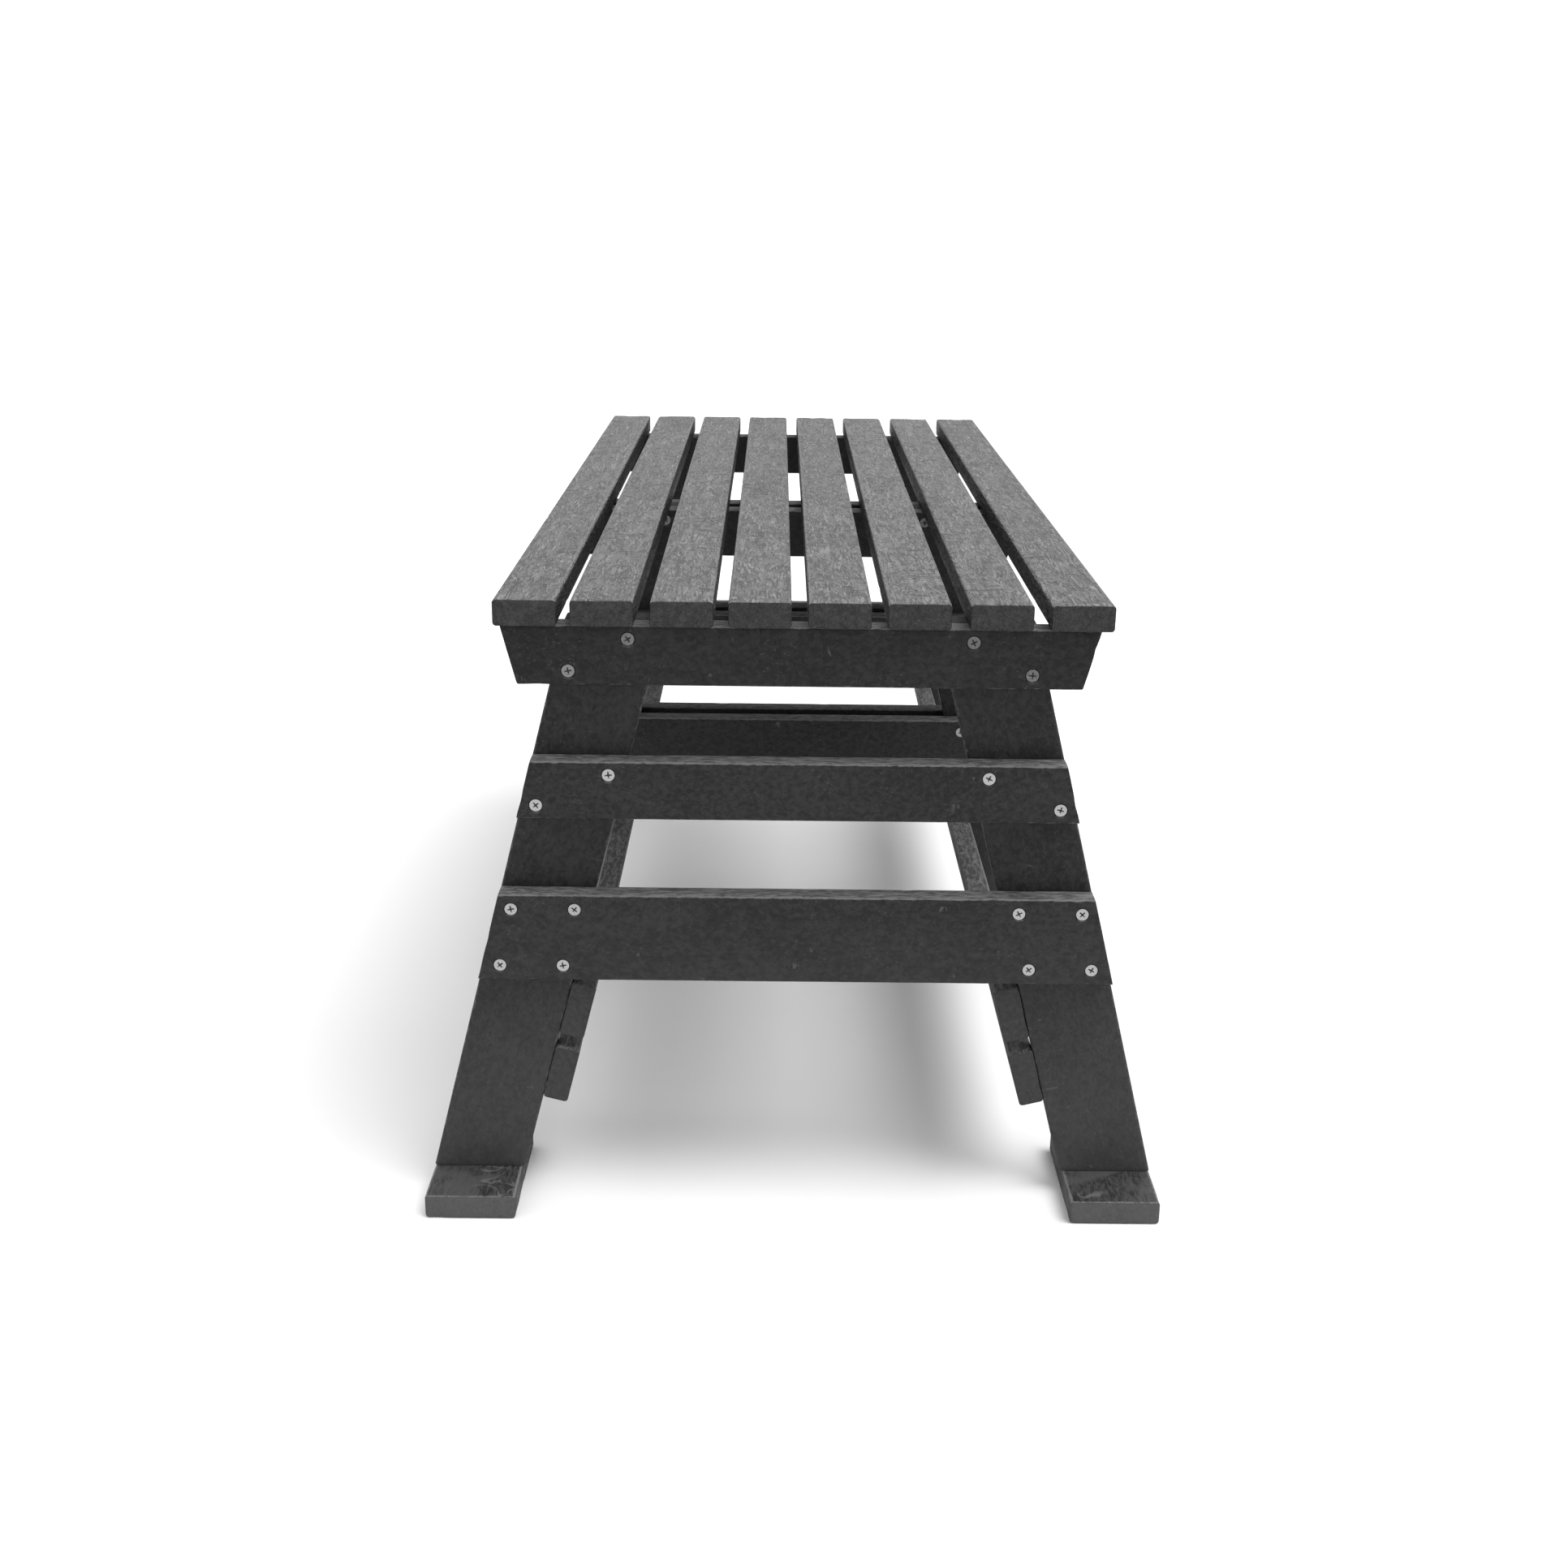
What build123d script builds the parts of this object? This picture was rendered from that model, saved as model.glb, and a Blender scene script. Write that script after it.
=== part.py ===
"""Backless bench of moulded plastic boards: eight lengthwise slats on three splayed trestles.

X runs across the bench, Y along it and Z up. The origin is on the floor under the middle of the seat.
Every board has the same thickness and one of two widths, and everything is held by screws.
"""

from build123d import *
from math import copysign, cos, radians, sin, tan
import os

# Boards
board_thickness = 19.0
narrow_width = 44.5  # slats, top beams, mid rails and side boards
wide_width = 69.0  # legs, lower rails and feet
arris_radius = 2.5

# Seat
seat_height = 480.0
seat_length = 1000.0
seat_width = 436.0
slat_count = 8

# Trestles
slat_overhang = 8.0  # slat ends beyond the outer face of an end beam
leg_splay = 14.4  # degrees from upright
leg_spread = 336.0  # between the legs' outer edges at their tops
beam_inset = 5.5  # from the side of the seat to a top beam's upper corner
mid_rail_top = 360.0
lower_rail_top = 256.5
foot_length = 112.0

# Side boards
side_board_drop = 10.0  # from the lower rails' underside to the upper board
side_board_gap = 11.5

# Screws
screw_radius = 2.5
screw_clearance = 0.25  # between a screw and the hole it passes freely
screw_point = 4.0
head_radius = 4.8
head_sink = 0.5  # countersunk head below the board's face
pan_head_radius = 4.5
pan_head_height = 3.0
recess_length = 5.4
recess_width = 1.1
recess_depth = 1.6
short_screw = 35.0  # rail to leg
seat_screw = 45.0  # beam to slat
long_screw = 50.0  # foot or side board to leg
seat_screw_bite = 12.0  # length of a seat screw inside its slat
pan_bore_radius = 6.0
edge_margin = 7.0  # least board left beside a bore
bore_margin = 1.5  # least board left between a bore and a screw that crosses the beam
screw_side_offset = 23.5  # across a leg, from its middle to a rail screw
beam_inner_offset = 13.0  # the same for a top beam's inner screw
foot_screw_offset = 18.0
screw_edge_distance = 10.5  # from a narrow board's long edge to its screws
wide_edge_distance = 12.0  # from a wide board's long edge to its screws
offset_shift = 12.0  # keeps facing screws in one leg apart
lower_row_inset = 2.0  # of a lower rail's bottom screws, toward the middle of the bench

# Worked out from the values above
slope = tan(radians(leg_splay))
seat_underside = seat_height - board_thickness
slat_pitch = (seat_width - narrow_width) / (slat_count - 1)
leg_width_level = wide_width / cos(radians(leg_splay))
end_leg_y = seat_length / 2 - slat_overhang - 1.5 * board_thickness
lower_rail_bottom = lower_rail_top - wide_width
beam_top_half = seat_width / 2 - beam_inset
beam_bottom_half = beam_top_half - narrow_width * slope
sink_radius = head_radius + head_sink
side_board_length = 2 * end_leg_y + board_thickness
pan_bore_depth = narrow_width + seat_screw_bite - seat_screw

# Middle plane of each trestle's legs, and the sides (-1 front, 1 rear) on which it has rails
trestles = {
    "front": (-end_leg_y, (-1,)),
    "middle": (0.0, (-1, 1)),
    "rear": (end_leg_y, (1,)),
}
sides = {"left": -1, "right": 1}
facings = {-1: "front", 1: "rear"}


def leg_edge(z):
    """Distance from the middle of the bench to a leg's outer edge at height z."""
    return leg_spread / 2 + (seat_underside - z) * slope


def leg_middle(z):
    """Distance from the middle of the bench to a leg's middle line at height z."""
    return leg_edge(z) - leg_width_level / 2


def save(piece, name):
    """Label a finished piece and write it."""
    piece.part.label = name
    export_step(piece.part, f"parts/{name}.step")


def facing_plane(x, y, z, side):
    """Plane on a trestle's board face, looking out of the front (-1) or rear (1)."""
    return Plane(origin=(x, y, z), x_dir=(-side, 0, 0), z_dir=(0, side, 0))


# Screw places


def pair_spots(top, inner_offset, swap):
    """Heads of two diagonal screws per leg in a narrow rail: (x, z) for each."""
    high = top - screw_edge_distance
    low = top - narrow_width + screw_edge_distance
    spots = []
    for direction in sides.values():
        inner_z, outer_z = (low, high) if swap else (high, low)
        spots.append((direction * (leg_middle(inner_z) - inner_offset), inner_z))
        spots.append((direction * (leg_middle(outer_z) + screw_side_offset), outer_z))
    return spots


def four_spots(top, swap):
    """Heads of four screws per leg in a lower rail: (x, z) for each."""
    across = screw_side_offset - offset_shift if swap else screw_side_offset
    rise = wide_width / 2 - wide_edge_distance
    spots = []
    for direction in sides.values():
        for z, inset in ((top - wide_width / 2 + rise, 0.0), (top - wide_width / 2 - rise, lower_row_inset)):
            middle = leg_middle(z) - inset
            spots.append((direction * (middle - across), z))
            spots.append((direction * (middle + across), z))
    return spots


def rail_spots(kind, side, trestle):
    """Screw places of one rail. The rear rail of the middle pair avoids the front one's screws."""
    swap = trestle == "middle" and side == 1
    if kind == "top_beam":
        return pair_spots(seat_underside, beam_inner_offset, swap)
    if kind == "mid_rail":
        return pair_spots(mid_rail_top, screw_side_offset, swap)
    return four_spots(lower_rail_top, swap)


def rail_planes(kind, side, trestle):
    """Planes on a rail's outer face, one for each of its screws."""
    y = trestles[trestle][0] + side * 1.5 * board_thickness
    return [facing_plane(x, y, z, side) for x, z in rail_spots(kind, side, trestle)]


def clear_of_beam_screws(x):
    """X moved sideways as little as keeps a counterbore off the screws that cross the beams."""
    gap = pan_bore_radius + screw_radius + bore_margin
    for swap in (False, True):
        for taken, z in pair_spots(seat_underside, beam_inner_offset, swap):
            if abs(x - taken) < gap:
                x = taken + copysign(gap, x - taken)
    return x


def seat_screw_spots():
    """X of each slat's screw. The outer ones move in so that the beam's raked ends stay whole."""
    limit = beam_bottom_half - pan_bore_radius - edge_margin
    middles = [i * slat_pitch - (seat_width - narrow_width) / 2 for i in range(slat_count)]
    return [clear_of_beam_screws(max(-limit, min(limit, x))) for x in middles]


def beam_ys():
    """Middle planes of the four top beams."""
    return [y + side * board_thickness for y, rails in trestles.values() for side in rails]


def side_board_middle(index):
    """X and z of a side board's middle, on the right: index 0 is the upper board."""
    run = side_board_drop / cos(radians(leg_splay)) + narrow_width / 2
    run += index * (narrow_width + side_board_gap)
    z = lower_rail_bottom - run * cos(radians(leg_splay))
    x = leg_edge(z) - leg_width_level - board_thickness / 2 * cos(radians(leg_splay))
    return x, z - board_thickness / 2 * sin(radians(leg_splay))


def side_board_planes(direction, index, y):
    """Planes on a side board's inner face for its two screws into the leg at y."""
    x, z = side_board_middle(index)
    lean = radians(leg_splay)
    half = board_thickness / 2
    planes = []
    for offset in (1, -1):
        along = offset * (narrow_width / 2 - screw_edge_distance)
        px = x - half * cos(lean) - along * sin(lean)
        pz = z - half * sin(lean) + along * cos(lean)
        outward = (-direction * cos(lean), 0, -sin(lean))
        planes.append(Plane(origin=(direction * px, y, pz), x_dir=(0, 1, 0), z_dir=outward))
    return planes


def foot_planes(direction, y):
    """Planes on a foot's underside for its two screws into the leg."""
    middle = leg_middle(board_thickness)
    planes = []
    for offset in (-foot_screw_offset, foot_screw_offset):
        x = direction * (middle + offset)
        planes.append(Plane(origin=(x, y, 0), x_dir=(1, 0, 0), z_dir=(0, 0, -1)))
    return planes


# Holes, made in the board that is being built


def sunk_holes(planes):
    """Through holes with a countersink for the head."""
    with Locations(*planes):
        CounterSinkHole(
            radius=screw_radius + screw_clearance,
            counter_sink_radius=sink_radius,
            depth=board_thickness,
            counter_sink_angle=90,
        )


def pilot_holes(planes, length):
    """Blind holes that a screw of this length fills behind the board it passes through."""
    with Locations(*[plane.offset(-board_thickness) for plane in planes]):
        Hole(radius=screw_radius, depth=length + head_sink - board_thickness)


# Boards


def make_slat(index):
    """One seat slat, screwed from below."""
    x = index * slat_pitch - (seat_width - narrow_width) / 2
    with BuildPart() as slat:
        with BuildSketch(Plane.XY.offset(seat_underside)):
            with Locations((x, 0)):
                Rectangle(narrow_width, seat_length)
        extrude(amount=board_thickness)
        fillet(slat.edges().filter_by(Axis.Y), arris_radius)
        spots = [(seat_screw_spots()[index], y, seat_underside) for y in beam_ys()]
        with Locations(*[Plane(origin=spot, z_dir=(0, 0, -1)) for spot in spots]):
            Hole(radius=screw_radius, depth=seat_screw_bite)
    save(slat, f"seat_slat_{index + 1}")


def make_leg(trestle, side_name):
    """One splayed leg, cut level at its top and where it stands on its foot."""
    y, rails = trestles[trestle]
    direction = sides[side_name]
    outer_top = leg_edge(seat_underside)
    outer_bottom = leg_edge(board_thickness)
    outline = [
        (direction * outer_top, seat_underside),
        (direction * outer_bottom, board_thickness),
        (direction * (outer_bottom - leg_width_level), board_thickness),
        (direction * (outer_top - leg_width_level), seat_underside),
    ]
    grain = Axis((0, 0, 0), (direction * sin(radians(leg_splay)), 0, -cos(radians(leg_splay))))
    with BuildPart() as leg:
        with BuildSketch(Plane.XZ.offset(-y)):
            with BuildLine():
                Polyline(*outline, close=True)
            make_face()
        extrude(amount=board_thickness / 2, both=True)
        fillet(leg.edges().filter_by(grain), arris_radius)
        for side in rails:
            for kind in ("top_beam", "mid_rail", "lower_rail"):
                planes = [p for p in rail_planes(kind, side, trestle) if p.origin.X * direction > 0]
                pilot_holes(planes, short_screw)
        for index in (0, 1):
            pilot_holes(side_board_planes(direction, index, y), long_screw)
        pilot_holes(foot_planes(direction, y), long_screw)
    save(leg, f"{trestle}_{side_name}_leg")


def make_foot(trestle, side_name):
    """The flat block under one leg, in line with the leg's outer edge."""
    y = trestles[trestle][0]
    direction = sides[side_name]
    x = direction * (leg_edge(board_thickness) - wide_width / 2)
    with BuildPart() as foot:
        with BuildSketch():
            with Locations((x, y)):
                Rectangle(wide_width, foot_length)
        extrude(amount=board_thickness)
        fillet(foot.edges().filter_by(Axis.Y), arris_radius)
        sunk_holes(foot_planes(direction, y))
    save(foot, f"{trestle}_{side_name}_foot")


def make_rail(kind, trestle, side):
    """One crosswise board on a trestle's face, its ends raked to match the legs."""
    y = trestles[trestle][0] + side * board_thickness
    if kind == "top_beam":
        top, width = seat_underside, narrow_width
        top_half, bottom_half = beam_top_half, beam_bottom_half
    elif kind == "mid_rail":
        top, width = mid_rail_top, narrow_width
        top_half, bottom_half = leg_edge(top), leg_edge(top - width)
    else:
        top, width = lower_rail_top, wide_width
        top_half, bottom_half = leg_edge(top), leg_edge(top - width)
    outline = [
        (-top_half, top),
        (top_half, top),
        (bottom_half, top - width),
        (-bottom_half, top - width),
    ]
    with BuildPart() as rail:
        with BuildSketch(Plane.XZ.offset(-y)):
            with BuildLine():
                Polyline(*outline, close=True)
            make_face()
        extrude(amount=board_thickness / 2, both=True)
        fillet(rail.edges().filter_by(Axis.X), arris_radius)
        sunk_holes(rail_planes(kind, side, trestle))
        if kind == "top_beam":
            bores = [(x, y, top - width) for x in seat_screw_spots()]
            with Locations(*[Plane(origin=bore, z_dir=(0, 0, -1)) for bore in bores]):
                CounterBoreHole(
                    radius=screw_radius + screw_clearance,
                    counter_bore_radius=pan_bore_radius,
                    counter_bore_depth=pan_bore_depth,
                    depth=width,
                )
    part = f"{facings[side]}_" if trestle == "middle" else ""
    save(rail, f"{trestle}_{part}{kind}")


def make_side_board(side_name, index):
    """One lengthwise board against the inner edges of the legs on one side."""
    direction = sides[side_name]
    x, z = side_board_middle(index)
    with BuildPart() as board:
        with BuildSketch(Plane.XZ):
            with Locations((direction * x, z)):
                Rectangle(board_thickness, narrow_width, rotation=direction * leg_splay)
        extrude(amount=side_board_length / 2, both=True)
        fillet(board.edges().filter_by(Axis.Y), arris_radius)
        for y, _ in trestles.values():
            sunk_holes(side_board_planes(direction, index, y))
    save(board, f"{side_name}_{('upper', 'lower')[index]}_side_board")


# Screws


def turned_screw(profile, top):
    """A screw turned from half its profile, pointing down, with a cross recess at the top."""
    with BuildPart() as screw:
        with BuildSketch(Plane.XZ):
            with BuildLine():
                Polyline(*profile, close=True)
            make_face()
        revolve(axis=Axis.Z)
        with BuildSketch(Plane.XY.offset(top)):
            Rectangle(recess_length, recess_width)
            Rectangle(recess_width, recess_length)
        extrude(amount=-recess_depth, mode=Mode.SUBTRACT)
    return screw.part


def countersunk_screw(length):
    """A countersunk screw whose head lies just below the board's face, at z = 0."""
    profile = [
        (0, -head_sink),
        (head_radius, -head_sink),
        (screw_radius, screw_radius - head_radius - head_sink),
        (screw_radius, screw_point - length - head_sink),
        (0, -length - head_sink),
    ]
    return turned_screw(profile, -head_sink)


def pan_screw(length):
    """A pan head screw, with the seat of its head at z = 0."""
    profile = [
        (0, pan_head_height),
        (pan_head_radius * 0.7, pan_head_height),
        (pan_head_radius, pan_head_height / 2),
        (pan_head_radius, 0),
        (screw_radius, 0),
        (screw_radius, screw_point - length),
        (0, -length),
    ]
    return turned_screw(profile, pan_head_height)


def make_screws(name, screw, planes):
    """A group of identical screws, one at each plane."""
    with BuildPart() as group:
        with Locations(*planes):
            add(screw)
    save(group, name)


def make_rail_screws(kind):
    """All the screws that hold one kind of crosswise board to the legs."""
    planes = []
    for trestle, (_, rails) in trestles.items():
        for side in rails:
            planes += rail_planes(kind, side, trestle)
    make_screws(f"{kind}_screws", countersunk_screw(short_screw), planes)


def make_seat_screws():
    """The screws that come up through the top beams into the slats."""
    z = seat_underside - narrow_width + pan_bore_depth
    planes = [Plane(origin=(x, y, z), z_dir=(0, 0, -1)) for y in beam_ys() for x in seat_screw_spots()]
    make_screws("seat_screws", pan_screw(seat_screw), planes)


def make_long_screws():
    """The screws of the side boards and of the feet, grouped apart."""
    board_planes = []
    under_planes = []
    for y, _ in trestles.values():
        for direction in sides.values():
            under_planes += foot_planes(direction, y)
            for index in (0, 1):
                board_planes += side_board_planes(direction, index, y)
    make_screws("side_board_screws", countersunk_screw(long_screw), board_planes)
    make_screws("foot_screws", countersunk_screw(long_screw), under_planes)


os.makedirs("parts", exist_ok=True)

for slat_index in range(slat_count):
    make_slat(slat_index)

for trestle_name, (_, rail_sides) in trestles.items():
    for side_label in sides:
        make_leg(trestle_name, side_label)
        make_foot(trestle_name, side_label)
    for rail_side in rail_sides:
        for rail_kind in ("top_beam", "mid_rail", "lower_rail"):
            make_rail(rail_kind, trestle_name, rail_side)

for side_label in sides:
    for board_index in (0, 1):
        make_side_board(side_label, board_index)

for rail_kind in ("top_beam", "mid_rail", "lower_rail"):
    make_rail_screws(rail_kind)
make_seat_screws()
make_long_screws()
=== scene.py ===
"""Backless bench of moulded plastic boards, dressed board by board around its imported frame."""

from dataclasses import dataclass, field
from enum import Enum
import logging
import math
from typing import Dict, Iterator, List, Mapping, Optional, Sequence, Tuple, Union

import bmesh
import bpy
import numpy as np
from mathutils import Matrix, Vector, noise


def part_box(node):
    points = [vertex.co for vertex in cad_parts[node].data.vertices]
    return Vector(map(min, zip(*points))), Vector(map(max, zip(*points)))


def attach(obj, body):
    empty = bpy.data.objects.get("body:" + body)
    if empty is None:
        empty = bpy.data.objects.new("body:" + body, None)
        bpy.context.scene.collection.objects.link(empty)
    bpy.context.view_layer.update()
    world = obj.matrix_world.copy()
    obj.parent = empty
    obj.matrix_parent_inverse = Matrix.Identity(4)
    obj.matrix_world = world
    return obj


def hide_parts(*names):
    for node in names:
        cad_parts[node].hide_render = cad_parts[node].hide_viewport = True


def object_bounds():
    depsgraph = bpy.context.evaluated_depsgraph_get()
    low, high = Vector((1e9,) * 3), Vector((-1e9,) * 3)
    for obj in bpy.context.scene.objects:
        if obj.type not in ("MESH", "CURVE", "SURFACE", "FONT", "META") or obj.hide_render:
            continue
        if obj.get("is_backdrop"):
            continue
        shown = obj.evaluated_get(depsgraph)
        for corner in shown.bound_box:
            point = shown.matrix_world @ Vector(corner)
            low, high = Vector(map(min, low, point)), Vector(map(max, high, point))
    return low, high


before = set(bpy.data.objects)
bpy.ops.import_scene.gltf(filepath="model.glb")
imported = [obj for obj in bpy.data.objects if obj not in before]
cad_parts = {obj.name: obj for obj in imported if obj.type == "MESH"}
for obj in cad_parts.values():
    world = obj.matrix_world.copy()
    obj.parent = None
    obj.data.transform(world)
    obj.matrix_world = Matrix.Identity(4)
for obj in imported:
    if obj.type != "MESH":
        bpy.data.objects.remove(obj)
cad_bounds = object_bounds()

MM = 0.001
SNUG = 0.04 * MM  # how far the faces wave on boards that lie tight on one another
BOARD_CREASE = math.radians(38)
SCREW_CREASE = math.radians(35)
DUST_AND_FLOOR_LIGHT_HEIGHT = 0.26  # dust and painted floor light on upright faces thin out up to here
SEED = 7
log = logging.getLogger("bench")

Number = Union["Field", float]
Corner = Tuple[float, float]
Rows = List[np.ndarray]


# ---------------------------------------------------------------- shader maths


class Field:
    """A shader socket that can be used in Python expressions.

    Each operator adds the Math node that it stands for.
    """

    def __init__(self, graph: "Graph", socket: bpy.types.NodeSocket) -> None:
        """Keep an output socket and the builder of its node tree."""
        self.graph = graph
        self.socket = socket

    def _math(self, operation: str, first: Number, second: Number, clamp: bool = False) -> "Field":
        """Add one Math node, clamped to 0 to 1 if asked."""
        settings = {"operation": operation, "use_clamp": clamp}
        return self.graph.node("ShaderNodeMath", settings, {0: first, 1: second})

    def __add__(self, other: Number) -> "Field":
        """self + other."""
        return self._math("ADD", self, other)

    def __radd__(self, other: Number) -> "Field":
        """other + self."""
        return self._math("ADD", other, self)

    def __sub__(self, other: Number) -> "Field":
        """self - other."""
        return self._math("SUBTRACT", self, other)

    def __rsub__(self, other: Number) -> "Field":
        """other - self."""
        return self._math("SUBTRACT", other, self)

    def __mul__(self, other: Number) -> "Field":
        """self * other."""
        return self._math("MULTIPLY", self, other)

    def __rmul__(self, other: Number) -> "Field":
        """other * self."""
        return self._math("MULTIPLY", other, self)

    def __abs__(self) -> "Field":
        """The absolute value."""
        return self._math("ABSOLUTE", self, 0.0)

    def clamped(self) -> "Field":
        """The value kept between 0 and 1."""
        return self._math("ADD", self, 0.0, clamp=True)

    def rise(self, low: float, high: float) -> "Field":
        """A smooth step of the value, from 0 at low up to 1 at high."""
        settings = {"interpolation_type": "SMOOTHSTEP", "clamp": True}
        return self.graph.node("ShaderNodeMapRange", settings, {"Value": self, 1: low, 2: high})

    def fall(self, low: float, high: float) -> "Field":
        """The same smooth step, from 1 at low down to 0 at high."""
        return 1.0 - self.rise(low, high)

    def crease(self, core: float, edge: float) -> "Field":
        """Thin lines where the value is a half: 1 while twice the difference is under core, 0 over edge."""
        return abs(self * 2.0 - 1.0).fall(core, edge)


class Graph:
    """Builds one material's node tree."""

    def __init__(self, name: str) -> None:
        """Start an empty material.

        Args:
            name: the material's name.
        """
        self.material = bpy.data.materials.new(name)
        self.material.use_nodes = True
        self.tree = self.material.node_tree
        self.tree.nodes.clear()

    def node(
        self,
        kind: str,
        settings: Mapping[str, object],
        sockets: Mapping[Union[str, int], object],
        out: Union[str, int] = 0,
    ) -> Field:
        """Add any node.

        Args:
            kind: the node's type.
            settings: its properties, set first.
            sockets: values or Fields for its inputs, by name or number.
            out: the output that is wanted.

        Returns:
            That output.
        """
        made = self.tree.nodes.new(kind)
        for key, value in settings.items():
            setattr(made, key, value)
        for key, value in sockets.items():
            if isinstance(value, Field):
                self.tree.links.new(value.socket, made.inputs[key])
            else:
                made.inputs[key].default_value = value
        return Field(self, made.outputs[out])

    def attribute(self, name: str) -> Field:
        """A number stored on the mesh."""
        return self.node("ShaderNodeAttribute", {"attribute_name": name}, {}, "Fac")

    def place(self, name: str, stretch: Tuple[float, float, float]) -> Field:
        """A position stored on the mesh, in cells. stretch is the cells per metre along each axis."""
        raw = self.node("ShaderNodeAttribute", {"attribute_name": name}, {}, "Vector")
        return self.node("ShaderNodeVectorMath", {"operation": "MULTIPLY"}, {0: raw, 1: stretch})

    def noise(self, at: Field, detail: float = 3.0, rough: float = 0.5, swirl: float = 0.0) -> Field:
        """Soft noise around 0.5. detail counts its finer layers, rough is their strength, swirl stirs it."""
        sockets = {"Vector": at, "Scale": 1.0, "Detail": detail, "Roughness": rough, "Distortion": swirl}
        return self.node("ShaderNodeTexNoise", {}, sockets, "Fac")

    def grain(self, along: float, across: float, detail: float = 3.0, rough: float = 0.5,
              swirl: float = 0.0) -> Field:
        """The same noise fixed to the board, with its cells per metre along and across."""
        return self.noise(self.place("grain", (along, across, across)), detail, rough, swirl)

    def cells(self, at: Field) -> Field:
        """Distance to the nearest of scattered points, one to a cell."""
        return self.node("ShaderNodeTexVoronoi", {}, {"Vector": at, "Scale": 1.0}, "Distance")

    def blend(self, share: Number, low: object, high: object) -> Field:
        """Mix two colours: low at share 0, high at share 1."""
        return self.node("ShaderNodeMix", {"data_type": "RGBA"}, {0: share, 6: low, 7: high}, 2)

    def finish(
        self,
        colour: object,
        rough: Number,
        height: Optional[Field],
        depth: float,
        **others: Number,
    ) -> bpy.types.Material:
        """Close the tree with one Principled shader.

        Args:
            colour: the base colour.
            rough: the roughness.
            height: relief for the bump, from 0 to 1, or None.
            depth: how deep that relief is, in metres.
            others: values for other sockets, with underscores for spaces.

        Returns:
            The finished material.
        """
        sockets: Dict[Union[str, int], object] = {"Base Color": colour, "Roughness": rough}
        sockets.update({key.replace("_", " "): value for key, value in others.items()})
        if height is not None:
            bump = {"Strength": 1.0, "Distance": depth, "Height": height}
            sockets["Normal"] = self.node("ShaderNodeBump", {}, bump)
        shader = self.node("ShaderNodeBsdfPrincipled", {}, sockets)
        made = self.tree.nodes.new("ShaderNodeOutputMaterial")
        self.tree.links.new(shader.socket, made.inputs["Surface"])
        return self.material


def grey(value: float) -> Tuple[float, float, float, float]:
    """A neutral colour of a linear lightness."""
    return (value, value, value, 1.0)


# ---------------------------------------------------------------- finishes


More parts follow.
